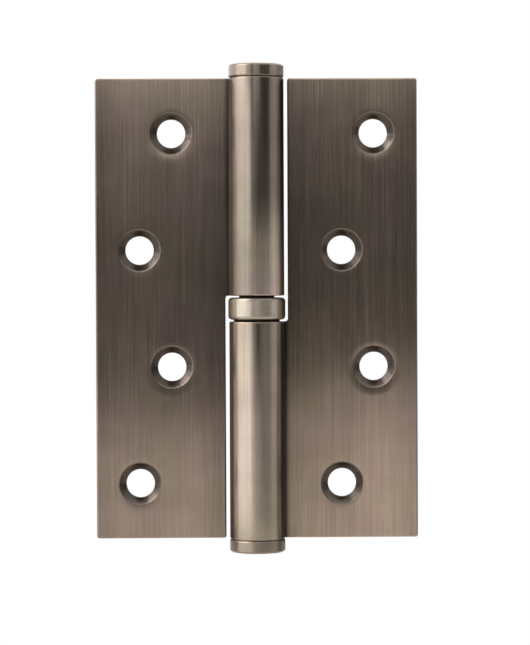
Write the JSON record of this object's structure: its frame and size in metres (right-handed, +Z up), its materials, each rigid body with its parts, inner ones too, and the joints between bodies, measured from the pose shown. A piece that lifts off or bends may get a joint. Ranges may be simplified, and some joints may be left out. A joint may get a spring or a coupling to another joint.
{
  "type": "lift-off hinge",
  "caption": "Lift-off butt hinge with two flat countersunk leaves rolled round a pin, a ball-bearing ring between the knuckles and round caps at both ends.",
  "frame": {"origin": "on the pin axis, halfway up the leaves, which is the middle of the ball bearing", "axes": "+Z up along the pin axis; +X towards the frame leaf, laid flat open; +Y towards the backs of the leaves, so the countersunk faces look along -Y"},
  "size_m": [0.07, 0.0124, 0.1056],
  "materials": {
    "door_leaf_metal": "dark bronze plated steel, brushed along the pin",
    "frame_leaf_metal": "dark bronze plated steel, brushed along the pin",
    "cap_metal": "dark bronze plated steel, turned",
    "sleeve_metal": "satin bronze plated steel, drawn",
    "pin_steel": "ground steel, oiled",
    "race_steel": "pressed and hardened steel",
    "ball_steel": "polished bearing steel"
  },
  "bodies": {
    "frame_side": {"frame_leaf": "frame_leaf_metal", "hinge_pin": "pin_steel", "lower_cap": "cap_metal", "bearing_sleeve": "sleeve_metal", "lower_race": "race_steel"},
    "ball_ring": {"bearing_ball_01": "ball_steel", "bearing_ball_02": "ball_steel", "bearing_ball_03": "ball_steel", "bearing_ball_04": "ball_steel", "bearing_ball_05": "ball_steel", "bearing_ball_06": "ball_steel", "bearing_ball_07": "ball_steel", "bearing_ball_08": "ball_steel", "bearing_ball_09": "ball_steel", "bearing_ball_10": "ball_steel", "bearing_ball_11": "ball_steel", "bearing_ball_12": "ball_steel", "bearing_ball_13": "ball_steel", "bearing_ball_14": "ball_steel", "bearing_ball_15": "ball_steel", "bearing_ball_16": "ball_steel"},
    "turning_race": {"upper_race": "race_steel"},
    "door_side": {"door_leaf": "door_leaf_metal", "upper_cap": "cap_metal"}
  },
  "joints": [
    {"name": "leaf_turn", "type": "hinge", "parent": "frame_side", "child": "turning_race", "pos_m": [0, 0, 0], "axis": [0, 0, 1], "range_deg": [-120, 180]},
    {"name": "leaf_lift", "type": "slide", "parent": "turning_race", "child": "door_side", "axis": [0, 0, 1], "range_m": [0, 0.042]},
    {"name": "ball_orbit", "type": "hinge", "parent": "frame_side", "child": "ball_ring", "pos_m": [0, 0, 0], "axis": [0, 0, 1], "range_deg": [-60, 90]}
  ],
  "couplings": [
    {"joint": "ball_orbit", "follows": "leaf_turn", "ratio": 0.5}
  ]
}
